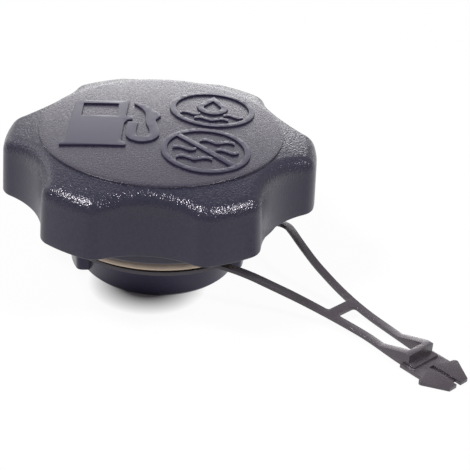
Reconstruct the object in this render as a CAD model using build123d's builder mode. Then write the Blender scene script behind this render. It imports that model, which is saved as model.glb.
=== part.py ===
from build123d import *
from math import acos, degrees, radians, sqrt, tan
import os

os.makedirs("parts", exist_ok=True)

# Fuel filler cap of a small engine, lying on its plug on a level surface, with its strap
# reaching down to that surface. Millimetres, Z up along the cap's axis from the plug's
# lower rim, X along the straight end of the strap.

# Grip: a round moulded knob with six wide scallops, so that six lobes stay between them
lobe_count = 6
first_lobe_angle = 46
lobe_depth = 5
scallop_radius = 20
lobe_corner_radius = 4.5
grip_bottom = 17.4
crown_radius = 229
brow_radius = 110
disc_top = 33.8
disc_margin = 3
disc_step = 0.45
disc_edge_bevel = 0.25
shoulder_round = 3.6
grip_draft = 2
skirt_wall = 2.3
skirt_edge_bevel = 0.5
roof_thickness = 3
pocket_roof = 3

# Collar under the grip, round the sealing ring. The grip's hollows stand out from it
collar_margin = 1.8
collar_bottom = 14.5
collar_wall = 2.8
collar_edge_bevel = 0.5

# Closure: the flange and the hollow plug that goes into the filler neck
seat_gap = 0.3
flange_bottom = 14.8
flange_thickness = 2.2
plug_radius = 17.5
plug_wall = 2
plug_edge = 0.8
web_bottom = 9
web_thickness = 2
lug_reach = 2.2
lug_width = 15
lug_bottom = 1
lug_round = 1.6
lug_angle = 54
lug_count = 2
vent_notch = 1.2
vent_notch_count = 4

# Sealing ring of pale rubber under the flange, as wide as the flange stands out
seal_width = 7.1
seal_thickness = 3.9
seal_edge_bevel = 0.4

# Vent: an umbrella valve in the web, a foam disc and a pierced plate that holds it
stem_radius = 1.4
valve_radius = 5
valve_thickness = 1.1
valve_dish = 0.35
valve_crown_radius = 3
valve_knob_radius = 2.1
valve_knob_height = 2.4
port_count = 4
port_radius = 0.7
port_circle = 3.1
plate_bottom = 1.8
plate_thickness = 1.4
plate_hole_count = 6
plate_hole_radius = 2
plate_hole_circle = 9
bead_width = 0.7
foam_gap = 0.3
foam_clearance = 0.2

# Strap: a ring round the plug, two arms, a cross bar, a stop and a split barb
strap_thickness = 0.85
ring_top = 9.5
ring_clearance = 0.3
ring_width = 4.7
root_round = 1.5
arm_width = 1.7
arm_spacing = 5.7
strap_line = 16.1
floor_gap = 0.2
slope_angle = 21
slope_inset = 1.1
upper_bend = 30
lower_bend = 55
tail_angle = 4
tail_end = 62
tail_bend = 40
near_root_inset = 1.7
near_corner = 44.3
near_angle = 33.4
near_bend = 38
far_root_angle = 53
far_shoulder_reach = 6.2
far_shoulder_angle = 52.4
far_shoulder_bend = 4
far_run = 5.7
far_bend = 30
bar_start = 42.8
bar_width = 2
bar_round = 0.8
stop_start = 63.9
stop_thickness = 1.5
stop_height = 3.5
stop_foot = 1.6
stop_foot_height = 0.45
gusset_length = 6.7
head_width = 9
barb_start = 69.6
barb_width = 12.5
barb_slant = 0.4
barb_round = 0.7
nose_width = 5.5
nose_end = 75.7
nose_round = 0.9
slot_width = 1.3
slot_length = 7.3

# How far a cut or a join runs past the surface it meets, and how closely points are matched
overrun = 1
match = 0.01
full_turn = 360

# Radii from the plug outwards: each part is as wide as what it holds plus its own wall
bore_radius = plug_radius - plug_wall
lug_radius = plug_radius + lug_reach
flange_radius = plug_radius + seal_width
collar_radius = flange_radius + seat_gap + collar_wall
valley_radius = collar_radius + collar_margin
crest_radius = valley_radius + lobe_depth
disc_radius = valley_radius - disc_margin
lobe_pitch = full_turn / lobe_count
flange_top = flange_bottom + flange_thickness
seal_bottom = flange_bottom - seal_thickness
crown_top = disc_top - disc_step
ring_inner = plug_radius + ring_clearance
ring_outer = ring_inner + ring_width
lug_top = ring_top - strap_thickness - ring_clearance


def crown_height(radius, top):
    """Height of a crowned surface of the cap at a distance from its axis."""
    return top - crown_radius + sqrt(crown_radius**2 - radius**2)


def lobed_outline(inset):
    """Plan outline of the grip, drawn inside the true one by an even inset."""
    half_pitch = lobe_pitch / 2
    scallop_centre = valley_radius + scallop_radius
    corner_centre = crest_radius - lobe_corner_radius
    # Each lobe's corner touches the outer circle and the scallop beside it on one tangent
    spread = scallop_radius + lobe_corner_radius
    between = acos(
        (corner_centre**2 + scallop_centre**2 - spread**2) / (2 * corner_centre * scallop_centre)
    )
    corner_angle = half_pitch - degrees(between)
    corner = Vector(corner_centre, 0).rotate(Axis.Z, corner_angle)
    scallop = Vector(scallop_centre, 0).rotate(Axis.Z, half_pitch)
    towards = (scallop - corner).normalized()
    corner_radius = lobe_corner_radius - inset
    crest_end = Vector(crest_radius - inset, 0).rotate(Axis.Z, corner_angle)
    meeting = corner + towards * corner_radius
    halfway = (crest_end + meeting) / 2 - corner
    corner_middle = corner + halfway.normalized() * corner_radius
    valley = Vector(valley_radius - inset, 0).rotate(Axis.Z, half_pitch)
    mirrored = Vector(meeting.X, -meeting.Y).rotate(Axis.Z, lobe_pitch)
    with BuildSketch() as outline:
        with BuildLine():
            for lobe in range(lobe_count):
                turn = first_lobe_angle + lobe * lobe_pitch
                points = (crest_end, corner_middle, meeting, valley, mirrored)
                end, middle, meet, low, next_meet = (p.rotate(Axis.Z, turn) for p in points)
                start, first_middle, first_meet = (
                    Vector(p.X, -p.Y).rotate(Axis.Z, turn) for p in points[:3]
                )
                ThreePointArc(first_meet, first_middle, start)
                ThreePointArc(start, Vector(crest_radius - inset, 0).rotate(Axis.Z, turn), end)
                ThreePointArc(end, middle, meet)
                ThreePointArc(meet, low, next_meet)
        make_face()
    return outline.sketch


def brow_height(radius):
    """Height of the grip's top outside the disc, which falls faster than the crown."""
    start = crown_height(disc_radius, crown_top)
    fall = sqrt(brow_radius**2 - disc_radius**2) - sqrt(brow_radius**2 - radius**2)
    return start - fall


# Knob: lobed grip, raised round disc and the collar, one hollow moulding
with BuildPart() as knob:
    with BuildSketch(Plane.XY.offset(grip_bottom)):
        add(lobed_outline(0))
    extrude(amount=brow_height(0) - grip_bottom, taper=grip_draft)
    with BuildSketch(Plane.XZ):
        with BuildLine():
            reach = crest_radius + overrun
            brow_end = (reach, brow_height(reach))
            brow_middle = (reach / 2, brow_height(reach / 2))
            brow_start = (0, brow_height(0))
            Polyline(brow_start, (0, grip_bottom), (reach, grip_bottom), brow_end)
            ThreePointArc(brow_end, brow_middle, brow_start)
        make_face()
    revolve(axis=Axis.Z, mode=Mode.INTERSECT)
    shoulder = knob.faces().sort_by(Axis.Z)[-1].outer_wire().edges()
    fillet(shoulder, shoulder_round)
    skirt_edge = knob.faces().sort_by(Axis.Z)[0].outer_wire().edges()
    chamfer(skirt_edge, skirt_edge_bevel)
    # The raised disc takes the place of the grip's middle
    with BuildSketch(Plane.XY.offset(grip_bottom)):
        Circle(disc_radius)
    extrude(amount=disc_top, mode=Mode.SUBTRACT)
    with BuildSketch(Plane.XZ):
        with BuildLine():
            rim = disc_radius - disc_edge_bevel
            rim_height = crown_height(rim, disc_top)
            Polyline(
                (0, disc_top),
                (0, grip_bottom),
                (disc_radius, grip_bottom),
                (disc_radius, rim_height - disc_edge_bevel),
                (rim, rim_height),
            )
            ThreePointArc(
                (rim, rim_height), (rim / 2, crown_height(rim / 2, disc_top)), (0, disc_top)
            )
        make_face()
    revolve(axis=Axis.Z)
    # Hollow lobes, open underneath, between the skirt and the collar
    with BuildSketch(Plane.XY.offset(grip_bottom)):
        add(lobed_outline(skirt_wall))
        Circle(collar_radius, mode=Mode.SUBTRACT)
    pocket_height = brow_height(crest_radius) - pocket_roof - grip_bottom
    extrude(amount=pocket_height, mode=Mode.SUBTRACT)
    with BuildSketch(Plane.XZ) as collar_section:
        with Locations((0, collar_bottom)):
            collar_height = grip_bottom - collar_bottom
            Rectangle(collar_radius, collar_height, align=(Align.MIN, Align.MIN))
        lower_corner = collar_section.vertices().group_by(Axis.Y)[0].sort_by(Axis.X)[-1]
        chamfer(lower_corner, collar_edge_bevel)
    revolve(axis=Axis.Z)
    # Seat for the flange, and the hollow above it
    with BuildSketch(Plane.XY.offset(collar_bottom)):
        Circle(flange_radius + seat_gap)
    extrude(amount=flange_top - collar_bottom, mode=Mode.SUBTRACT)
    hollow_radius = flange_radius - collar_wall
    with BuildSketch(Plane.XY.offset(flange_top)):
        Circle(hollow_radius)
    hollow_top = crown_height(hollow_radius, crown_top) - roof_thickness
    extrude(amount=hollow_top - flange_top, mode=Mode.SUBTRACT)
knob.part.label = "knob"
export_step(knob.part, "parts/knob.step")

# Closure: flange, hollow plug with a web across it, and two bayonet lugs
with BuildPart() as closure:
    with BuildSketch(Plane.XZ):
        with BuildLine():
            Polyline(
                (0, web_bottom),
                (bore_radius, web_bottom),
                (bore_radius, plate_bottom),
                (bore_radius - bead_width, plate_bottom),
                (bore_radius - bead_width, plate_bottom - bead_width),
                (bore_radius, 0),
                (plug_radius - plug_edge, 0),
                (plug_radius, plug_edge),
                (plug_radius, flange_bottom),
                (flange_radius, flange_bottom),
                (flange_radius, flange_top),
                (bore_radius, flange_top),
                (bore_radius, web_bottom + web_thickness),
                (0, web_bottom + web_thickness),
                close=True,
            )
        make_face()
    revolve(axis=Axis.Z)
    for lug in range(lug_count):
        turn = lug_angle + lug * full_turn / lug_count
        with BuildSketch(Plane.XY.offset(lug_bottom).rotated((0, 0, turn))) as lug_plan:
            Circle(lug_radius)
            Rectangle(lug_radius * 2, lug_width, mode=Mode.INTERSECT)
            with Locations((-lug_radius, 0)):
                Rectangle(lug_radius * 2, lug_width, mode=Mode.SUBTRACT)
            fillet(lug_plan.vertices().group_by(Axis.X)[-1], lug_round)
            Circle(plug_radius - plug_wall / 2, mode=Mode.SUBTRACT)
        extrude(amount=lug_top - lug_bottom)
    with Locations(Location((0, 0, web_bottom + web_thickness))):
        Hole(stem_radius)
        with PolarLocations(port_circle, port_count):
            Hole(port_radius)
    # Breather notches across the flange's upper face
    with BuildSketch(Plane.XY.offset(flange_top)):
        with PolarLocations((flange_radius + bore_radius) / 2, vent_notch_count):
            Rectangle(flange_radius - bore_radius + overrun, vent_notch)
    extrude(amount=-vent_notch, mode=Mode.SUBTRACT)
closure.part.label = "closure_plug"
export_step(closure.part, "parts/closure_plug.step")

# Sealing ring: flat rubber ring that seals on the filler neck's rim
with BuildPart() as seal:
    with BuildSketch(Plane.XY.offset(seal_bottom)):
        Circle(flange_radius)
        Circle(plug_radius, mode=Mode.SUBTRACT)
    extrude(amount=seal_thickness)
    chamfer(seal.faces().sort_by(Axis.Z)[0].outer_wire().edges(), seal_edge_bevel)
seal.part.label = "sealing_ring"
export_step(seal.part, "parts/sealing_ring.step")

# Umbrella valve: rubber cap under the web, with a stem and a knob that hold it in place
with BuildPart() as valve:
    with BuildSketch(Plane.XZ):
        with BuildLine():
            web_top = web_bottom + web_thickness
            Polyline(
                (0, web_bottom - valve_thickness),
                (valve_crown_radius, web_bottom - valve_thickness),
                (valve_radius, web_bottom - valve_dish),
                (valve_radius, web_bottom),
                (stem_radius, web_bottom),
                (stem_radius, web_top),
                (valve_knob_radius, web_top),
                (stem_radius, web_top + valve_knob_height / 2),
                (stem_radius / 2, web_top + valve_knob_height),
                (0, web_top + valve_knob_height),
                close=True,
            )
        make_face()
    revolve(axis=Axis.Z)
valve.part.label = "umbrella_valve"
export_step(valve.part, "parts/umbrella_valve.step")

# Pierced plate that snaps over the bead inside the plug and keeps splashes off the vent
with BuildPart() as plate:
    with BuildSketch(Plane.XY.offset(plate_bottom)):
        Circle(bore_radius)
        with PolarLocations(plate_hole_circle, plate_hole_count):
            Circle(plate_hole_radius, mode=Mode.SUBTRACT)
    extrude(amount=plate_thickness)
plate.part.label = "splash_plate"
export_step(plate.part, "parts/splash_plate.step")

# Foam disc that fills the plug between the plate and the valve
with BuildPart() as foam:
    with BuildSketch(Plane.XY.offset(plate_bottom + plate_thickness)):
        Circle(bore_radius - foam_clearance)
    foam_top = web_bottom - valve_thickness - foam_gap
    extrude(amount=foam_top - plate_bottom - plate_thickness)
foam.part.label = "vent_foam"
export_step(foam.part, "parts/vent_foam.step")

# Strap: plan outline cut from a thin band that bends down to the surface
head_top = floor_gap + strap_thickness
arm_offset = arm_spacing / 2
near_line = strap_line - arm_offset
far_line = strap_line + arm_offset
near_root_x = ring_inner + near_root_inset
near_rise = (near_corner - near_root_x) * tan(radians(near_angle))
root_radius = (ring_inner + ring_outer) / 2
far_root = Vector(root_radius, 0).rotate(Axis.Z, far_root_angle)
far_shoulder = Vector(ring_outer + far_shoulder_reach, 0).rotate(Axis.Z, far_shoulder_angle)
far_corner = ring_outer + far_run
# Side view: level ring, slope, a shallow tail, then the head flat on the surface
slope = tan(radians(slope_angle))
slope_start = ring_inner + slope_inset
tail_slope = tan(radians(tail_angle))
upper_corner = slope_start + upper_bend * tan(radians(slope_angle / 2))
drop = ring_top - head_top
lower_corner = (drop + upper_corner * slope - tail_end * tail_slope) / (slope - tail_slope)
tail_rise = (tail_end - lower_corner) * tail_slope
with BuildPart() as strap:
    with BuildSketch() as strap_plan:
        Circle(ring_outer)
        with BuildLine():
            FilletPolyline(
                (near_root_x, near_line - near_rise),
                (near_corner, near_line),
                (stop_start + overrun, near_line),
                radius=near_bend,
            )
        trace(line_width=arm_width)
        with BuildLine():
            FilletPolyline(
                far_root,
                far_shoulder,
                (far_corner, far_line),
                (stop_start + overrun, far_line),
                radius=[far_shoulder_bend, far_bend],
            )
        trace(line_width=arm_width)
        with Locations((bar_start, far_line)):
            Rectangle(bar_width, arm_spacing + arm_width, align=(Align.MIN, Align.MAX))
        with BuildLine():
            head_side = strap_line + head_width / 2
            barb_side = strap_line + barb_width / 2
            nose_side = strap_line + nose_width / 2
            half_head = Polyline(
                (stop_start, strap_line),
                (stop_start, head_side),
                (barb_start, head_side),
                (barb_start + barb_slant, barb_side),
                (nose_end, nose_side),
                (nose_end, strap_line),
            )
            mirror(half_head, about=Plane.XZ.offset(-strap_line))
        make_face()
        corners = strap_plan.vertices()
        fillet(corners.filter_by(lambda v: abs(v.X - barb_start - barb_slant) < match), barb_round)
        fillet(corners.filter_by(lambda v: abs(v.X - nose_end) < match), nose_round)
        with Locations((nose_end - slot_length / 2, strap_line)):
            Rectangle(slot_length, slot_width, mode=Mode.SUBTRACT)
        on_bar = corners.filter_by(
            lambda v: bar_start - match < v.X < bar_start + bar_width + match
            and near_line - arm_width < v.Y < far_line
        )
        fillet(on_bar, bar_round)
        on_ring = corners.filter_by(
            lambda v: v.X > 0 and abs(Vector(v.X, v.Y).length - ring_outer) < match
        )
        fillet(on_ring, root_round)
        Circle(ring_inner, mode=Mode.SUBTRACT)
    extrude(amount=ring_top)
    with BuildSketch(Plane.XZ):
        with BuildLine():
            top = FilletPolyline(
                (-ring_outer, ring_top),
                (upper_corner, ring_top),
                (lower_corner, head_top + tail_rise),
                (tail_end, head_top),
                (nose_end, head_top),
                radius=[upper_bend, lower_bend, tail_bend],
            )
            under = FilletPolyline(
                (-ring_outer, ring_top - strap_thickness),
                (upper_corner, ring_top - strap_thickness),
                (lower_corner, floor_gap + tail_rise),
                (tail_end, floor_gap),
                (nose_end, floor_gap),
                radius=[upper_bend, lower_bend, tail_bend],
            )
            Line(top @ 0, under @ 0)
            Line(top @ 1, under @ 1)
        make_face()
    extrude(amount=crest_radius, both=True, mode=Mode.INTERSECT)
    # Stop: a low wall across the arms, with a step at its foot and a gusset on each arm
    with BuildSketch(Plane.XZ.offset(-strap_line)):
        stop_front = stop_start + stop_thickness
        with Locations((stop_start, floor_gap)):
            Rectangle(stop_thickness, stop_height - floor_gap, align=(Align.MIN, Align.MIN))
        with Locations((stop_front, floor_gap)):
            foot_height = strap_thickness + stop_foot_height
            Rectangle(stop_foot, foot_height, align=(Align.MIN, Align.MIN))
    extrude(amount=(arm_spacing + arm_width) / 2, both=True)
    gusset_start = stop_start - gusset_length
    gusset_rise = (tail_end - gusset_start) * tail_slope
    for gusset_line in (near_line, far_line):
        with BuildSketch(Plane.XZ.offset(-gusset_line)):
            with BuildLine():
                Polyline(
                    (gusset_start, floor_gap + gusset_rise),
                    (gusset_start, head_top + gusset_rise),
                    (stop_start, stop_height),
                    (stop_start, floor_gap),
                    close=True,
                )
            make_face()
        extrude(amount=arm_width / 2, both=True)
strap.part.label = "tether_strap"
export_step(strap.part, "parts/tether_strap.step")
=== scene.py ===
import bpy
import bmesh
from math import acos, atan2, cos, hypot, pi, radians, sin, sqrt, tan, tau
from mathutils import Matrix, Vector, noise


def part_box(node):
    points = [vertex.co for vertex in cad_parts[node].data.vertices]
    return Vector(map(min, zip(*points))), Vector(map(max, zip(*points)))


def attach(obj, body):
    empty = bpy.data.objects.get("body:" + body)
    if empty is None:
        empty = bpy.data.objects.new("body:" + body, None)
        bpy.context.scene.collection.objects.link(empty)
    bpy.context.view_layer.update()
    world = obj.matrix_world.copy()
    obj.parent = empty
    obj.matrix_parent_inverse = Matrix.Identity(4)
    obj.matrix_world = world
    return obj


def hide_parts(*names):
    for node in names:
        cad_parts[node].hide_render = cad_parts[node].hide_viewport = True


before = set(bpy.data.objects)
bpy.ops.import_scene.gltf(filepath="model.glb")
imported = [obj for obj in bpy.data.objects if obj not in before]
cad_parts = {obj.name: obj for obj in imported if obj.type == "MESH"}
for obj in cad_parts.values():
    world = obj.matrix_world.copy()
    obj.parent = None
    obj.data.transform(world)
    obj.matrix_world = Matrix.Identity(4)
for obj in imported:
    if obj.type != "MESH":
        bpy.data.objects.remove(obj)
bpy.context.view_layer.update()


# Closure plug: flange, hollow plug and two bayonet lugs, one smooth dark moulding.
# It is pressed and welded into the grip, and its lower rim is what the cap stands on.
# The CAD solid is right, so a merged copy of it only gets its moulded edge rounds.
mm = 0.001
# Corners nearer to each other than this are made one
touching = 0.002 * mm


class Value:
    """One socket's output, on which Python's operators add Math nodes."""

    def __init__(self, tree, socket):
        self.tree, self.socket = tree, socket

    def math(self, operation, *values):
        inputs = dict(enumerate(values))
        return self.tree.node("ShaderNodeMath", {"operation": operation}, inputs)

    def __add__(self, other):
        return self.math("ADD", self, other)

    def __sub__(self, other):
        return self.math("SUBTRACT", self, other)

    def __rsub__(self, other):
        return self.math("SUBTRACT", other, self)

    def __mul__(self, other):
        return self.math("MULTIPLY", self, other)

    def __truediv__(self, other):
        return self.math("DIVIDE", self, other)

    def __rtruediv__(self, other):
        return self.math("DIVIDE", other, self)

    def __pow__(self, other):
        return self.math("POWER", self, other)

    def __lt__(self, other):
        return self.math("LESS_THAN", self, other)

    def __gt__(self, other):
        return self.math("GREATER_THAN", self, other)

    __radd__ = __add__
    __rmul__ = __mul__


class Tree:
    """A node tree, to which one method adds every kind of node."""

    def __init__(self, nodes):
        self.nodes = nodes

    def node(self, kind, settings=None, inputs=None, output=0):
        """Adds a node: its settings first, then its sockets' values or links.

        It gives back one output, or a list of them for a tuple of names.
        """
        made = self.nodes.nodes.new(kind)
        for name, setting in (settings or {}).items():
            if name == "stops":
                ramp = made.color_ramp.elements
                while len(ramp) < len(setting):
                    ramp.new(0.5)
                for stop, (place, shade) in zip(ramp, setting):
                    stop.position = place
                    stop.color = (shade, shade, shade, 1)
            else:
                setattr(made, name, setting)
        for name, value in (inputs or {}).items():
            if isinstance(value, Value):
                self.nodes.links.new(value.socket, made.inputs[name])
            else:
                made.inputs[name].default_value = value
        if isinstance(output, tuple):
            return [Value(self, made.outputs[name]) for name in output]
        return Value(self, made.outputs[output]) if made.outputs else made

    def mix(self, factor, first, second):
        """Mixes two colours."""
        return self.node(
            "ShaderNodeMix", {"data_type": "RGBA"}, {0: factor, 6: first, 7: second}, 2
        )

    def ramp(self, value, *stops):
        """A value led through stops, each a place and a shade."""
        return self.node("ShaderNodeValToRGB", {"stops": stops}, {"Fac": value})

    def bump(self, height, depth, strength=1.0):
        """A normal bent by a height, whose full range is a depth in metres."""
        inputs = {"Strength": strength, "Distance": depth, "Height": height}
        return self.node("ShaderNodeBump", {}, inputs)

    def grain(self, size, detail=2.0, rough=0.5, place=None):
        """Noise whose blobs are about one size across, in metres."""
        where = place or self.node("ShaderNodeTexCoord", output="Object")
        return self.node(
            "ShaderNodeTexNoise",
            {},
            {"Vector": where, "Scale": 1 / size, "Detail": detail, "Roughness": rough},
        )


def finish_of(name, draw, **constants):
    """A material: draw(tree) gives what varies over the surface, constants the rest."""
    material = bpy.data.materials.new(name)
    material.use_nodes = True
    material.node_tree.nodes.clear()
    tree = Tree(material.node_tree)
    inputs = {word.replace("_", " "): value for word, value in constants.items()}
    inputs.update(draw(tree))
    surface = tree.node("ShaderNodeBsdfPrincipled", {}, inputs)
    tree.node("ShaderNodeOutputMaterial", {}, {"Surface": surface})
    return material


def smooth_plastic(tree):
    """Dark moulded plastic with faint flow clouds and a trace of mould texture."""
    clouds = tree.grain(9 * mm)
    fine = tree.grain(0.35 * mm, detail=3)
    deep, light = (0.003, 0.0026, 0.017, 1), (0.007, 0.006, 0.027, 1)
    return {"Base Color": tree.mix(clouds, deep, light), "Roughness": 0.2 + clouds * 0.12,
            "Normal": tree.bump(fine, 0.02 * mm, strength=0.15)}


plug_plastic = finish_of("smooth_dark_plastic", smooth_plastic, IOR=1.5,
                         Specular_Tint=(0.8, 0.76, 1, 1))


def piece_from(form, name, material):
    """A new piece at the origin, made of a drawn form, which is used up."""
    mesh = bpy.data.meshes.new(name)
    form.to_mesh(mesh)
    form.free()
    mesh.materials.append(material)
    piece = bpy.data.objects.new(name, mesh)
    bpy.context.scene.collection.objects.link(piece)
    return piece


def round_edges(piece, width, segments):
    """A modifier that rounds a piece's edges over a width."""
    rounding = piece.modifiers.new("moulded_edges", "BEVEL")
    rounding.width, rounding.segments = width, segments
    return rounding


def settle(piece, corner):
    """Makes a piece's modifiers part of its mesh and shades all but its corners smooth."""
    ready = piece.evaluated_get(bpy.context.evaluated_depsgraph_get())
    mesh = bpy.data.meshes.new_from_object(ready)
    piece.modifiers.clear()
    piece.data = mesh
    mesh.name = piece.name
    mesh.shade_smooth()
    mesh.set_sharp_from_angle(angle=corner)


def dressed_copy(node, name, material, edge, segments, corner=radians(28)):
    """A merged copy of a CAD solid with its sharp edges rounded a little."""
    form = bmesh.new()
    form.from_mesh(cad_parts[node].data)
    bmesh.ops.remove_doubles(form, verts=form.verts, dist=touching)
    flat = radians(0.4)
    bmesh.ops.dissolve_limit(form, angle_limit=flat, verts=form.verts, edges=form.edges)
    piece = piece_from(form, name, material)
    rounding = round_edges(piece, edge, segments)
    rounding.limit_method, rounding.angle_limit = "ANGLE", corner
    settle(piece, corner)
    return piece


plug = dressed_copy("closure_plug", "plug_moulding", plug_plastic, edge=0.25 * mm, segments=2)
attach(plug, "cap")
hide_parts("closure_plug")


# Umbrella valve: a black rubber cap under the web, with a stem and a knob through it.
# It is moulded in one piece, and pulled into the web's middle hole from below.
def turned(name, profile, material, steps):
    """A closed ring or disc turned about the cap's axis from its half section in mm."""
    form = bmesh.new()
    loops = []
    for step in range(steps):
        turn = step * tau / steps
        loops.append([form.verts.new((r * cos(turn) * mm, r * sin(turn) * mm, z * mm))
                      for r, z in profile])
    for step, loop in enumerate(loops):
        following = loops[(step + 1) % steps]
        for here, there in zip(range(len(profile)), [*range(1, len(profile)), 0]):
            form.faces.new((loop[here], loop[there], following[there], following[here]))
    bmesh.ops.remove_doubles(form, verts=form.verts, dist=touching / 2)
    bmesh.ops.dissolve_degenerate(form, edges=form.edges, dist=touching / 4)
    bmesh.ops.recalc_face_normals(form, faces=form.faces)
    return piece_from(form, name, material)


def rounded(points, radius, steps=4):
    """A closed half section in mm with each corner off the axis rounded."""
    largest_share = 0.45
    section = []
    for index, point in enumerate(points):
        here = Vector(point)
        before, after = Vector(points[index - 1]), Vector(points[(index + 1) % len(points)])
        if here.x < radius:
            section.append(here)
            continue
        into, out = (before - here).normalized(), (after - here).normalized()
        shorter = min((before - here).length, (after - here).length)
        reach = min(radius, shorter * largest_share)
        start, end = here + into * reach, here + out * reach
        for step in range(steps + 1):
            share = step / steps
            section.append(start.lerp(here, share).lerp(here.lerp(end, share), share))
    return [(point.x, point.y) for point in section]


def black_rubber(tree):
    """Black rubber with a dull, slightly dusty skin."""
    bloom = tree.grain(2.5 * mm, detail=3)
    skin = tree.grain(0.15 * mm, detail=3)
    clean, dusty = (0.012, 0.012, 0.012, 1), (0.028, 0.027, 0.026, 1)
    return {"Base Color": tree.mix(bloom, clean, dusty), "Roughness": 0.6 + bloom * 0.2,
            "Normal": tree.bump(skin, 0.02 * mm, strength=0.3)}


valve_low, valve_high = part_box("umbrella_valve")
valve_foot, valve_tip = valve_low.z / mm, valve_high.z / mm
plug_web_low, plug_web_high = 9, 11
umbrella_radius, stem_radius, knob_radius = 5, 1.4, 2.1
valve_section = [
    (0, valve_foot), (2.6, valve_foot), (3.9, 8.18), (umbrella_radius, 8.65),
    (umbrella_radius, plug_web_low), (stem_radius, plug_web_low),
    (stem_radius, plug_web_high), (knob_radius, plug_web_high), (1.5, 12.1),
    (0.8, valve_tip), (0, valve_tip),
]
valve_rubber = finish_of("black_valve_rubber", black_rubber, IOR=1.5)
valve = turned("vent_umbrella", rounded(valve_section, radius=0.25), valve_rubber, steps=96)
settle(valve, corner=radians(50))
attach(valve, "cap")
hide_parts("umbrella_valve")


# Vent foam: a disc of dark open-cell foam, cut from sheet and laid in the plug
# between the valve and the pierced plate, where it holds back dust and splashes.
def open_foam(tree):
    """Dark grey foam whose open cells show as small pits, darkened with painted shade."""
    cell = 0.55 * mm
    place = tree.node("ShaderNodeTexCoord", output="Object")
    cells = tree.node(
        "ShaderNodeTexVoronoi", {}, {"Vector": place, "Scale": 1 / cell}, "Distance"
    )
    pits = tree.ramp(cells, (0.15, 0.0), (0.6, 1.0))
    # The pits' dark colour is painted shade inside the open cells
    pit_shade, skin = (0.02, 0.02, 0.021, 1), (0.11, 0.108, 0.105, 1)
    return {"Base Color": tree.mix(pits, pit_shade, skin), "Roughness": 0.85 + pits * 0.1,
            "Normal": tree.bump(pits, 0.2 * mm, strength=0.8)}


foam_low, foam_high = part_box("vent_foam")
foam_radius, foam_rows = foam_high.x / mm, 18
foam_radii = [foam_radius * row / foam_rows for row in range(foam_rows + 1)]
foam_section = [(radius, foam_low.z / mm) for radius in foam_radii]
foam_section += [(radius, foam_high.z / mm) for radius in reversed(foam_radii)]
foam_finish = finish_of("open_cell_foam", open_foam)
foam = turned("vent_foam_disc", foam_section, foam_finish, steps=96)
foam_middle = (foam_low.z + foam_high.z) / 2
dent_size, dent_depth = 1.1 * mm, 0.35 * mm
for corner in foam.data.vertices:
    # The cut faces are uneven, and only ever dip inwards
    dent = abs(noise.noise(corner.co / dent_size)) * dent_depth
    corner.co.z += dent if corner.co.z < foam_middle else -dent
settle(foam, corner=radians(60))
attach(foam, "cap")
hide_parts("vent_foam")


# Splash plate: a thin pierced disc that snaps over a bead in the plug's mouth.
# It is moulded in the same dark plastic as the plug, with a duller face.
def dull_plastic(tree):
    """The same plastic off a plainer mould face."""
    fine = tree.grain(0.25 * mm, detail=3)
    clouds = tree.grain(6 * mm)
    deep, light = (0.012, 0.011, 0.016, 1), (0.022, 0.021, 0.027, 1)
    return {"Base Color": tree.mix(clouds, deep, light), "Roughness": 0.4 + clouds * 0.15,
            "Normal": tree.bump(fine, 0.03 * mm, strength=0.25)}


plate_plastic = finish_of("dull_dark_plastic", dull_plastic, IOR=1.5)
plate = dressed_copy("splash_plate", "pierced_plate", plate_plastic, edge=0.15 * mm, segments=2)
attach(plate, "cap")
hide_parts("splash_plate")


# Sealing ring: flat ring of pale rubber under the flange, cut from moulded tube.
# It is stretched over the plug, and its outer edge shows as a tan band under the collar.
def pale_rubber(tree):
    """Tan rubber, a little mottled, with a dull skin, and painted shade under the collar."""
    place = tree.node("ShaderNodeTexCoord", output="Object")
    height = tree.node("ShaderNodeSeparateXYZ", {}, {0: place}, "Z") / (20 * mm)
    mottle = tree.grain(3 * mm, detail=4)
    skin = tree.grain(0.2 * mm, detail=3)
    # Painted shade: the ring darkens towards its top, where the collar overhangs it
    painted_collar_shade = tree.ramp(height + (mottle - 0.5) * 0.03, (0.565, 0.0), (0.625, 0.88))
    deep_tan, light_tan = (0.44, 0.365, 0.27, 1), (0.58, 0.505, 0.39, 1)
    collar_shade_dark = (0.07, 0.055, 0.05, 1)
    colour = tree.mix(painted_collar_shade, tree.mix(mottle, deep_tan, light_tan), collar_shade_dark)
    return {"Base Color": colour, "Roughness": 0.5 + mottle * 0.2,
            "Normal": tree.bump(skin, 0.04 * mm, strength=0.25)}


seal_low, seal_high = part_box("sealing_ring")
seal_radius, plug_radius = seal_high.x / mm, 17.5
seal_section = [
    (plug_radius, seal_low.z / mm), (seal_radius, seal_low.z / mm),
    (seal_radius, seal_high.z / mm), (plug_radius, seal_high.z / mm),
]
seal_rubber = finish_of("pale_seal_rubber", pale_rubber, IOR=1.5, Specular_IOR_Level=0.3)
seal_outline = rounded(seal_section, radius=1.0, steps=6)
seal = turned("pale_seal_ring", seal_outline, seal_rubber, steps=240)
settle(seal, corner=radians(50))
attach(seal, "cap")
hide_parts("sealing_ring")


# Grip: a round black moulding with six wide scallops and a raised disc on its crown, in
# one piece with the collar round the seal, and hollow from below behind thin walls.
# One lobe is drawn as a wedge of sixty degrees, and its copies are merged round the axis.
lobe_count = 6
first_lobe = radians(46)
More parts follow.
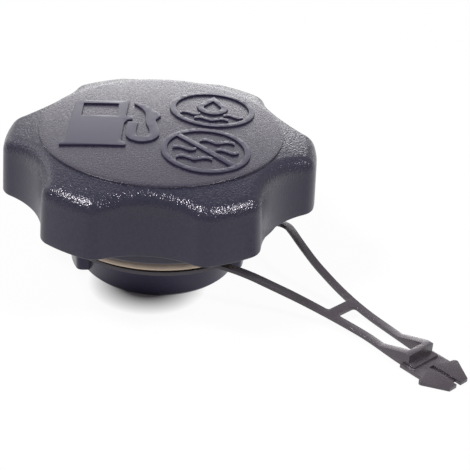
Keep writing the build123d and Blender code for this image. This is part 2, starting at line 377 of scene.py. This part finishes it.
# Lengths in mm, with heights from the floor
lobe_radius = 34.5
valley_radius = 29.5
scallop_radius = 20
lobe_corner = 4.5
grip_bottom = 17.4
crown_radius = 309
brow_radius = 110
disc_top = 33.4
disc_step = 0.45
disc_radius = 26.5
disc_edge = 0.12
disc_foot = 31.9
shoulder = 3.6
draft = radians(2)
skirt_wall = 2.3
skirt_edge = 0.4
inner_edge = 0.3
narrow_rim, narrow_share = 0.2, 0.3
pocket_roof = 26.5
pocket_gap = 0.6
collar_radius = 27.7
collar_bottom = 14.5
collar_edge = 0.6
seat_radius = 24.9
seat_top = 17
seat_edge = 0.3
hollow_radius = 21.8
hollow_top = 29.3
crest_columns, corner_columns, scallop_columns = 6, 8, 10
disc_rows, shoulder_rows, wall_rows = 22, 26, 8


def crown(radius, top):
    """Height of a crowned face of the cap, in mm."""
    return top - crown_radius + sqrt(crown_radius**2 - radius**2)


def brow(radius):
    """Height of the grip's top outside the disc, in mm."""
    start = crown(disc_radius, disc_top - disc_step)
    return start - sqrt(brow_radius**2 - disc_radius**2) + sqrt(brow_radius**2 - radius**2)


def facing(angle):
    """The flat direction at an angle."""
    return Vector((cos(angle), sin(angle)))


def outline_columns():
    """Points of one lobe's outline at its foot, in mm, each with its outward normal."""
    half_pitch = pi / lobe_count
    scallop_reach, corner_reach = valley_radius + scallop_radius, lobe_radius - lobe_corner
    spread = scallop_radius + lobe_corner
    corner_angle = half_pitch - acos(
        (corner_reach**2 + scallop_reach**2 - spread**2) / (2 * corner_reach * scallop_reach)
    )
    corner, scallop = facing(corner_angle) * corner_reach, facing(half_pitch) * scallop_reach
    meeting = atan2(*(scallop - corner).yx)
    half = []
    for column in range(crest_columns):
        normal = facing(corner_angle * column / crest_columns)
        half.append((normal * lobe_radius, normal))
    for column in range(corner_columns):
        normal = facing(corner_angle + (meeting - corner_angle) * column / corner_columns)
        half.append((corner + normal * lobe_corner, normal))
    for column in range(scallop_columns + 1):
        normal = facing(meeting + (half_pitch - meeting) * column / scallop_columns)
        half.append((scallop - normal * scallop_radius, normal))
    mirrored = [(Vector((p.x, -p.y)), Vector((n.x, -n.y))) for p, n in half[:0:-1]]
    return mirrored + half


columns = outline_columns()


def circle(radius, height):
    """One ring of the wedge on a circle about the axis."""
    return [Vector((*(point.normalized() * radius), height)) for point, _ in columns]


def lobed(inset, height):
    """One ring of the wedge that runs along the lobe, inside its foot by an inset."""
    return [Vector((*(point - normal * inset), height)) for point, normal in columns]


def shoulder_path(point, normal):
    """Points over one column of the wedge, from the disc's rim down to the wall."""
    probe, brow_steps, round_steps = 0.5, 12, 40
    # Centre of the shoulder's round, which touches the crown and the drafted wall
    near, far = point - normal * shoulder, point - normal * (shoulder + probe)
    near_top, far_top = brow(near.length), brow(far.length)
    rise = (far_top - near_top) / probe
    level = near_top - rise * shoulder
    slant = sqrt(1 + rise**2)
    inset = shoulder / cos(draft) + (level - shoulder * slant - grip_bottom) * tan(draft)
    inset /= 1 - rise * tan(draft)
    height = level + rise * inset - shoulder * slant
    start, end = atan2(1, -rise), pi - draft
    path = []
    touch = point - normal * (inset + shoulder * cos(start))
    rim = point.normalized() * disc_radius
    if touch.length > disc_radius:
        for step in range(brow_steps):
            spot = rim.lerp(touch, step / brow_steps)
            path.append(Vector((spot.x, spot.y, brow(spot.length))))
    for step in range(round_steps + 1):
        angle = start + (end - start) * step / round_steps
        spot = point - normal * (inset + shoulder * cos(angle))
        if spot.length > disc_radius:
            path.append(Vector((spot.x, spot.y, height + shoulder * sin(angle))))
    return path


def evenly(path, rows):
    """Points that share a path's length evenly."""
    speck = 1e-9
    reach = [0.0]
    for here, there in zip(path, path[1:]):
        reach.append(reach[-1] + (there - here).length)
    spots = []
    for row in range(rows + 1):
        goal = reach[-1] * row / rows
        leg = max(i for i in range(len(path) - 1) if reach[i] <= goal + speck)
        share = min(1, (goal - reach[leg]) / max(reach[leg + 1] - reach[leg], speck))
        spots.append(path[leg].lerp(path[leg + 1], share))
    return spots


def quarter_round(steps):
    """How far ahead and aside a quarter round is at each step, as shares of its radius."""
    angles = [pi / 2 * step / steps for step in range(1, steps + 1)]
    return [(sin(angle), 1 - cos(angle)) for angle in angles]


# The outside, ring by ring, from the middle of the disc down to the lower rim
rings = [circle(0, disc_top)]
disc_flat = disc_radius - disc_edge
for row in range(1, disc_rows + 1):
    radius = disc_flat * row / disc_rows
    rings.append(circle(radius, crown(radius, disc_top)))
for ahead, aside in quarter_round(steps=3):
    height = crown(disc_flat, disc_top) - disc_edge * aside
    rings.append(circle(disc_flat + disc_edge * ahead, height))
shoulder_columns = [evenly(shoulder_path(*column), shoulder_rows) for column in columns]
rings += [list(ring) for ring in zip(*shoulder_columns)]
wall_top, wall_foot = rings[-1], lobed(skirt_edge * tan(draft), grip_bottom + skirt_edge)
for row in range(1, wall_rows + 1):
    share = row / wall_rows
    rings.append([high.lerp(low, share) for high, low in zip(wall_top, wall_foot)])
for ahead, aside in quarter_round(steps=4):
    rings.append(lobed(skirt_edge * aside, grip_bottom + skirt_edge * (1 - ahead)))
collar_foot = circle(collar_radius, grip_bottom)
wide_rim = lobed(skirt_wall - inner_edge, grip_bottom)
rim_inner = []
for outer, inner, foot in zip(lobed(0, grip_bottom), wide_rim, collar_foot):
    # Where the wall runs into the collar, a narrow rim is left between them
    wide = inner.xy.length > collar_radius + narrow_rim
    rim_inner.append(inner if wide else foot.lerp(outer, narrow_share))
rings.append(rim_inner)
outside_count = len(rings)

# The collar, the seal's seat and the hollow over the flange, up to the axis
rings += [collar_foot, circle(collar_radius, collar_bottom + collar_edge)]
for ahead, aside in quarter_round(steps=4):
    height = collar_bottom + collar_edge * (1 - ahead)
    rings.append(circle(collar_radius - collar_edge * aside, height))
rings += [
    circle(seat_radius + seat_edge, collar_bottom),
    circle(seat_radius, collar_bottom + seat_edge),
    circle(seat_radius, seat_top), circle(hollow_radius, seat_top),
    circle(hollow_radius, hollow_top), circle(0, hollow_top),
]
wedge = bmesh.new()


def corners_of(ring):
    """The wedge's corners at the points of a ring."""
    return [wedge.verts.new(point * mm) for point in ring]


def strip(upper, lower, first=0, last=len(columns) - 1):
    """A strip of faces between two rings of the wedge, over a run of its columns."""
    for column in range(first, last):
        wedge.faces.new((upper[column], lower[column], lower[column + 1], upper[column + 1]))


corners = [corners_of(ring) for ring in rings]
for upper, lower in zip(corners[:outside_count], corners[1:outside_count]):
    strip(upper, lower)
pocket = [index for index, point in enumerate(lobed(skirt_wall, 0))
          if point.length > collar_radius + pocket_gap]
first_column, last_column = pocket[0], pocket[-1]
inner_rim, foot = corners[outside_count - 1], corners[outside_count]
strip(inner_rim, foot, last=first_column)
strip(inner_rim, foot, first=last_column)
# Walls and roof of the lobe's hollow, with its two narrow ends closed
pocket_heights = (grip_bottom + inner_edge, pocket_roof)
outer_side = [inner_rim] + [corners_of(lobed(skirt_wall, z)) for z in pocket_heights]
inner_side = [foot] + [corners_of(circle(collar_radius, z)) for z in pocket_heights]
for lower, upper in zip(outer_side, outer_side[1:]):
    strip(lower, upper, first_column, last_column)
for lower, upper in zip(inner_side, inner_side[1:]):
    strip(upper, lower, first_column, last_column)
strip(outer_side[-1], inner_side[-1], first_column, last_column)
storeys = list(zip(outer_side, outer_side[1:], inner_side, inner_side[1:]))
for end, order in ((first_column, 1), (last_column, -1)):
    for low, high, inner_low, inner_high in storeys:
        wedge.faces.new((low[end], high[end], inner_high[end], inner_low[end])[::order])
for upper, lower in zip(corners[outside_count:], corners[outside_count + 1:]):
    strip(upper, lower)
bmesh.ops.remove_doubles(wedge, verts=wedge.verts, dist=touching / 2)
bmesh.ops.delete(wedge, geom=[v for v in wedge.verts if not v.link_faces], context="VERTS")
bmesh.ops.recalc_face_normals(wedge, faces=wedge.faces)


def grip_plastic(tree):
    """Black nylon off a spark-eroded mould: coarse on top, finer on disc and walls."""
    place = tree.node("ShaderNodeTexCoord", output="Object")
    x, y, z = tree.node("ShaderNodeSeparateXYZ", {}, {0: place}, ("X", "Y", "Z"))
    on_disc = ((x * x + y * y) ** 0.5 < disc_radius * mm) * (z > disc_foot * mm)
    on_wall = tree.ramp(z / (disc_top * mm), (0.78, 1.0), (0.86, 0.0))
    open_grain = (1 - on_disc) * (1 - on_wall)
    coarse = tree.grain(0.4 * mm, detail=1, place=place)
    fine = tree.grain(0.3 * mm, detail=1, place=place)
    clouds = tree.grain(8 * mm, place=place)
    flecks = tree.grain(0.7 * mm, detail=3, rough=0.6, place=place)
    mottle = tree.ramp(flecks, (0.35, 0.0), (0.65, 1.0))
    height = coarse * (open_grain + on_disc * 0.36 + on_wall * 0.3)
    height = height + fine * (0.1 + on_disc * 0.1)
    brow_black, disc_black = (0.0085, 0.0095, 0.021, 1), (0.011, 0.0078, 0.019, 1)
    wall_black, cloud_black = (0.0075, 0.0083, 0.026, 1), (0.014, 0.0125, 0.026, 1)
    fleck_grey = (0.021, 0.0185, 0.032, 1)
    colour = tree.mix(on_disc, brow_black, disc_black)
    colour = tree.mix(on_wall, colour, wall_black)
    colour = tree.mix(clouds * 0.5, colour, cloud_black)
    colour = tree.mix(mottle * 0.6, colour, fleck_grey)
    roughness = 0.17 + on_disc * 0.07 + on_wall * 0.13 + mottle * 0.08
    return {"Base Color": colour, "Roughness": roughness,
            "Normal": tree.bump(height, 0.135 * mm)}


grip_finish = finish_of("grained_black_plastic", grip_plastic, IOR=1.5,
                        Specular_Tint=(0.98, 0.93, 1, 1))

lobes = bpy.data.node_groups.new("lobes_round_the_axis", "GeometryNodeTree")
for name, kind, way in (
    ("Lobe", "NodeSocketGeometry", "INPUT"),
    ("Number of lobes", "NodeSocketInt", "INPUT"),
    ("First lobe", "NodeSocketFloat", "INPUT"),
    ("Merge distance", "NodeSocketFloat", "INPUT"),
    ("Finish", "NodeSocketMaterial", "INPUT"),
    ("Grip", "NodeSocketGeometry", "OUTPUT"),
):
    lobes.interface.new_socket(name, in_out=way, socket_type=kind)
tree = Tree(lobes)
lobe, number, turned_by, merge_distance, finish = tree.node(
    "NodeGroupInput",
    output=("Lobe", "Number of lobes", "First lobe", "Merge distance", "Finish"),
)
places = tree.node("GeometryNodePoints", {}, {"Count": number})
index = tree.node("GeometryNodeInputIndex")
turn = tree.node("ShaderNodeCombineXYZ", {}, {"Z": index * (tau / number) + turned_by})
placed = tree.node(
    "GeometryNodeInstanceOnPoints", {}, {"Points": places, "Instance": lobe, "Rotation": turn}
)
solid = tree.node("GeometryNodeRealizeInstances", {}, {0: placed})
merged = tree.node(
    "GeometryNodeMergeByDistance", {}, {"Geometry": solid, "Distance": merge_distance}
)
faced = tree.node("GeometryNodeSetMaterial", {}, {"Geometry": merged, "Material": finish})
tree.node("NodeGroupOutput", {}, {"Grip": faced})

grip = piece_from(wedge, "grip_moulding", grip_finish)
array = grip.modifiers.new("lobes", "NODES")
array.node_group = lobes
settings = {"Number of lobes": lobe_count, "First lobe": first_lobe,
            "Merge distance": touching, "Finish": grip_finish}
for item in lobes.interface.items_tree:
    if item.name in settings:
        array[item.identifier] = settings[item.name]
settle(grip, corner=radians(32))
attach(grip, "cap")
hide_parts("knob")


# Signs on the disc: a fuel pump and two round marks, raised by less than half a
# millimetre. They are part of the grip's moulding, with polished faces and sharp edges.
photo_turn = radians(46)
sign_height = 0.4
sign_edge = 0.07
sign_sink = 0.3
sign_cell = 1.5


def polished_face(tree):
    """The same black plastic off a polished mould face, faintly clouded."""
    clouds = tree.grain(5 * mm)
    fine = tree.grain(0.3 * mm)
    deep, light = (0.012, 0.009, 0.027, 1), (0.016, 0.012, 0.034, 1)
    return {"Base Color": tree.mix(clouds, deep, light), "Roughness": 0.3 + clouds * 0.1,
            "Normal": tree.bump(fine, 0.02 * mm, strength=0.1)}


sign_finish = finish_of("polished_sign_plastic", polished_face, IOR=1.5)


def sign(name, *loops):
    """A flat sign of closed outlines in mm, raised on the crowned disc."""
    curve = bpy.data.curves.new(name, "CURVE")
    curve.dimensions = "2D"
    curve.fill_mode = "BOTH"
    curve.resolution_u = 10
    curve.extrude = (sign_height + sign_sink) / 2 * mm - sign_edge * mm
    curve.bevel_depth = sign_edge * mm
    curve.bevel_resolution = 1
    curve.offset = -sign_edge * mm
    for loop in loops:
        spline = curve.splines.new("BEZIER")
        spline.bezier_points.add(len(loop) - 1)
        spline.use_cyclic_u = True
        for spot, (u, v, bend) in zip(spline.bezier_points, loop):
            spot.co = (u * mm, v * mm, 0)
            spot.handle_left_type = spot.handle_right_type = "AUTO" if bend else "VECTOR"
    drawing = bpy.data.objects.new(name, curve)
    bpy.context.scene.collection.objects.link(drawing)
    ready = drawing.evaluated_get(bpy.context.evaluated_depsgraph_get())
    flat = bpy.data.meshes.new_from_object(ready)
    bpy.data.objects.remove(drawing)
    form = bmesh.new()
    form.from_mesh(flat)
    bmesh.ops.remove_doubles(form, verts=form.verts, dist=touching)
    # Cut into small cells, so that its faces follow the crown
    reach = int(disc_radius / sign_cell) + 1
    for step in range(-reach, reach + 1):
        for axis in ((1, 0, 0), (0, 1, 0)):
            bmesh.ops.bisect_plane(
                form, geom=form.verts[:] + form.edges[:] + form.faces[:], dist=1e-7,
                plane_co=Vector(axis) * step * sign_cell * mm, plane_no=axis,
            )
    for corner in form.verts:
        level = crown(hypot(corner.co.x, corner.co.y) / mm, disc_top)
        corner.co.z += (level + (sign_height - sign_sink) / 2) * mm
    bmesh.ops.transform(form, matrix=Matrix.Rotation(photo_turn, 4, "Z"), verts=form.verts)
    bmesh.ops.recalc_face_normals(form, faces=form.faces)
    piece = piece_from(form, name, sign_finish)
    settle(piece, corner=radians(32))
    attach(piece, "cap")


def straight(*points):
    """An outline with a corner at each point."""
    return [(u, v, False) for u, v in points]


pump_body = straight(
    (-20.7, -11.9), (-6.84, -11.5), (-6.76, -10.8), (-7.97, -9.3), (-8.1, -1.1), (-7.5, 0.45),
    (-6.5, 0.7), (-6.7, 2.5), (-8.1, 2.6), (-8.1, 10.6), (-20.05, 10.2), (-19.7, -9.4),
    (-20.75, -10.9),
)
pump_window = straight((-18.1, 8.7), (-10.3, 8.8), (-10.0, 2.2), (-17.8, 2.05))
hose = [
    (-7.36, -0.5, False), (-7.3, -6.0, True), (-6.9, -7.6, True), (-5.43, -9.1, True),
    (-3.29, -9.45, True), (-1.41, -8.56, True), (-0.24, -6.4, True), (-0.17, -5.06, True),
    (-0.86, -1.7, True), (-1.48, 1.07, False), (-0.5, 3.3, False), (-0.98, 4.4, True),
    (-2.75, 6.7, True), (-4.5, 8.7, True), (-6.85, 10.2, False), (-6.9, 9.1, False),
    (-5.33, 7.2, True), (-4.37, 5.5, True), (-3.87, 3.8, True), (-3.54, 0.07, True),
    (-2.32, -4.84, True), (-2.5, -6.5, True), (-3.6, -7.3, True), (-4.8, -6.9, True),
    (-5.11, -6.0, True), (-5.14, -0.5, False),
]
sign("pump_sign", pump_body, pump_window)
sign("pump_hose_sign", hose)

mark_radius, mark_inner = 9.5, 8.2
upper_mark, lower_mark = (10.5, 9.5), (10.1, -10.9)
stroke, quarter_wave, swing = 1.15, 1.25, 0.5


def ring_loop(u, v, radius):
    """A circle as an outline of four curved points."""
    turns = [quarter * pi / 2 for quarter in range(4)]
    return [(u + radius * cos(turn), v + radius * sin(turn), True) for turn in turns]


def drop_at(u, v, size):
    """A drop of fuel, point upwards."""
    return [
        (u, v + 1.3 * size, False), (u + 0.5 * size, v + 0.45 * size, True),
        (u + 0.78 * size, v - 0.25 * size, True), (u, v - size, True),
        (u - 0.78 * size, v - 0.25 * size, True), (u - 0.5 * size, v + 0.45 * size, True),
    ]


def wave_at(u, v, width):
    """A wavy line, as on still liquid, about five millimetres from crest to crest."""
    quarters = round(width / quarter_wave)
    upper = []
    for quarter in range(quarters + 1):
        along = u + width * (quarter / quarters - 0.5)
        level = v + stroke / 2 + swing * sin(quarter * pi / 2)
        upper.append((along, level, 0 < quarter < quarters))
    return upper + [(along, level - stroke, bend) for along, level, bend in reversed(upper)]


def waves(mark, *places):
    """Wavy lines on a mark: each has a name, its place from the middle and its width."""
    u, v = mark
    for name, along, up, width in places:
        sign(name, wave_at(u + along, v + up, width))


for name, (u, v) in (("upper_mark_ring", upper_mark), ("lower_mark_ring", lower_mark)):
    sign(name, ring_loop(u, v, mark_radius), ring_loop(u, v, mark_inner))
drop_size, drop_hollow = 4.4, 2.5
u, v = upper_mark
sign("upper_mark_drop", drop_at(u, v + 1.2, drop_size), drop_at(u, v + 1.0, drop_hollow))
waves(
    upper_mark,
    ("upper_mark_wave_left", -4.8, -3.2, 4.4), ("upper_mark_wave_right", 4.8, -3.2, 4.4),
    ("upper_mark_wave_foot", 0, -5.6, 7.5),
)
bar_half_width, bar_lap = 0.7, 0.6
bar_way = Vector((11.4, -10.5)).normalized()
bar_side = Vector((-bar_way.y, bar_way.x)) * bar_half_width
bar_reach = bar_way * (mark_inner + bar_lap)
bar_middle = Vector(lower_mark)
sign("lower_mark_bar", straight(
    bar_middle - bar_reach + bar_side, bar_middle + bar_reach + bar_side,
    bar_middle + bar_reach - bar_side, bar_middle - bar_reach - bar_side,
))
waves(
    lower_mark,
    ("lower_mark_wave_top", 2.2, 3.8, 7.5), ("lower_mark_wave_right", 4.5, 0, 5),
    ("lower_mark_wave_left", -4.5, 0, 5), ("lower_mark_wave_foot", -2.2, -3.8, 7.5),
)


# Retaining strap: a thin band of satin nylon with a ring that turns round the plug, two
# arms, a cross bar, a stop and a split barb that snaps through a slot in a panel.
def satin_plastic(tree):
    """Dark warm-grey plastic with a satin, mottled face, and painted shade darkening it towards
    its ring.
    """
    place = tree.node("ShaderNodeTexCoord", output="Object")
    x, y = tree.node("ShaderNodeSeparateXYZ", {}, {0: place}, ("X", "Y"))
    near_plug = tree.ramp((x * x + y * y) ** 0.5 / (50 * mm), (0.46, 1.0), (0.9, 0.0))
    clouds = tree.grain(7 * mm, detail=3)
    fine = tree.grain(0.35 * mm, place=place)
    flecks = tree.grain(0.6 * mm, detail=3, rough=0.6, place=place)
    mottle = tree.ramp(flecks, (0.35, 0.0), (0.65, 1.0))
    deep, light = (0.020, 0.016, 0.020, 1), (0.034, 0.028, 0.033, 1)
    fleck_grey, painted_shade_black = (0.046, 0.038, 0.045, 1), (0.004, 0.0035, 0.008, 1)
    colour = tree.mix(clouds, deep, light)
    colour = tree.mix(mottle * 0.6, colour, fleck_grey)
    # Painted shade: the strap darkens towards the ring round the plug, under the grip
    colour = tree.mix(near_plug * 0.9, colour, painted_shade_black)
    return {"Base Color": colour, "Roughness": 0.22 + clouds * 0.1 + near_plug * 0.22,
            "Normal": tree.bump(fine, 0.05 * mm, strength=0.6)}


strap_finish = finish_of("satin_strap_plastic", satin_plastic, IOR=1.5,
                         Specular_IOR_Level=0.85, Specular_Tint=(0.98, 0.91, 1, 1))
strap = dressed_copy("tether_strap", "retaining_strap", strap_finish,
                     edge=0.24 * mm, segments=3)
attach(strap, "strap")
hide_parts("tether_strap")

# A thin web closes the barb's slot from below, up to a short notch at its tip
slot_web_middle = Vector((71.2, 16.1, 0.4))
slot_web_size = Vector((6.2, 1.5, 0.36))
form = bmesh.new()
bmesh.ops.create_cube(form, size=1)
for corner in form.verts:
    corner.co = (slot_web_middle + corner.co * slot_web_size) * mm
slot_web = piece_from(form, "barb_slot_web", strap_finish)
round_edges(slot_web, width=0.08 * mm, segments=2)
settle(slot_web, corner=radians(28))
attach(slot_web, "strap")


# Floor: a plain white board. A part of its white shows to the camera and to
# reflections only, so that it stays pale but still carries the cap's shadow.
def board(tree):
    """White paper, seen mostly as plain white, but as lit near the foot of the plug."""
    shadow_x, shadow_y, shadow_size = 7.4 * mm, -9 * mm, 20 * mm
    seen, mirrored = tree.node("ShaderNodeLightPath", output=("Is Camera Ray", "Is Glossy Ray"))
    place = tree.node("ShaderNodeTexCoord", output="Object")
    x, y = tree.node("ShaderNodeSeparateXYZ", {}, {0: place}, ("X", "Y"))
    x, y = x - shadow_x, y - shadow_y
    away = (x * x + y * y) ** 0.5 / shadow_size
    share = tree.ramp(away, (0.30, 0.0), (0.66, 0.95))
    glow = tree.node("ShaderNodeEmission", {}, {"Color": (1, 1, 1, 1), "Strength": 1.0})
    paper = tree.node("ShaderNodeBsdfDiffuse", {}, {"Color": (0.6, 0.565, 0.585, 1)})
    factor = (seen + mirrored) * share
    return tree.node("ShaderNodeMixShader", {}, {0: factor, 1: paper, 2: glow})


floor_finish = bpy.data.materials.new("white_board")
floor_finish.use_nodes = True
floor_finish.node_tree.nodes.clear()
tree = Tree(floor_finish.node_tree)
tree.node("ShaderNodeOutputMaterial", {}, {"Surface": board(tree)})
floor_half = 1.5
form = bmesh.new()
form.faces.new([form.verts.new((x * floor_half, y * floor_half, 0))
                for x, y in ((-1, -1), (1, -1), (1, 1), (-1, 1))])
floor = piece_from(form, "floor", floor_finish)


# Light: a white room, two small soft boxes above left and right, which light up the
# shoulders' grain, and three wide ones behind, which the crown and the strap mirror.
world = bpy.data.worlds.new("white_room")
bpy.context.scene.world = world
world.use_nodes = True
world.node_tree.nodes.clear()
tree = Tree(world.node_tree)
seen, mirrored, through = tree.node(
    "ShaderNodeLightPath", output=("Is Camera Ray", "Is Glossy Ray", "Is Transmission Ray")
)
level = 0.25 + (seen + through) * 0.75 + mirrored * 0.25
room = tree.node("ShaderNodeBackground", {}, {"Color": (1, 1, 1, 1), "Strength": level})
tree.node("ShaderNodeOutputWorld", {}, {"Surface": room})

light_distance = 0.9
lit_middle = Vector((0.01, 0, 0.02))


def soft_box(name, azimuth, elevation, width, height, level):
    """A soft light that faces the cap, its angles in degrees and its sizes in metres.

    Azimuth 0 is the camera's side.
    """
    lamp = bpy.data.lights.new(name, "AREA")
    lamp.shape = "RECTANGLE"
    lamp.size, lamp.size_y = width, height
    lamp.energy = level * pi * width * height
    holder = bpy.data.objects.new(name, lamp)
    flat = facing(photo_turn - pi / 2 + radians(azimuth)) * cos(radians(elevation))
    way = Vector((*flat, sin(radians(elevation))))
    holder.location = lit_middle + way * light_distance
    holder.rotation_euler = (-way).to_track_quat("-Z", "Y").to_euler()
    bpy.context.scene.collection.objects.link(holder)


soft_box("left_light", -72, 58, 0.16, 0.16, 115)
soft_box("right_light", 72, 50, 0.16, 0.16, 80)
soft_box("left_side_light", -128, 24, 0.45, 0.45, 1.35)
soft_box("back_light", 184, 25, 0.64, 0.6, 0.95)
soft_box("low_back_light", 180, 8, 0.5, 0.18, 4.0)


# Camera: a long lens about thirty centimetres away, at the photograph's height and
# turn, with its slight tilt.
camera_elevation, camera_roll = radians(30.21), radians(3.76)
camera_data = bpy.data.cameras.new("camera")
camera_data.lens = 101.3
camera_data.sensor_width = 36
camera = bpy.data.objects.new("camera", camera_data)
camera.location = (0.19856, -0.16761, 0.15776)
aim = Matrix.Rotation(photo_turn, 4, "Z")
aim = aim @ Matrix.Rotation(pi / 2 - camera_elevation, 4, "X")
aim = aim @ Matrix.Rotation(camera_roll, 4, "Z")
camera.rotation_euler = aim.to_euler()
bpy.context.scene.collection.objects.link(camera)
bpy.context.scene.camera = camera
bpy.context.scene.view_settings.view_transform = "Standard"
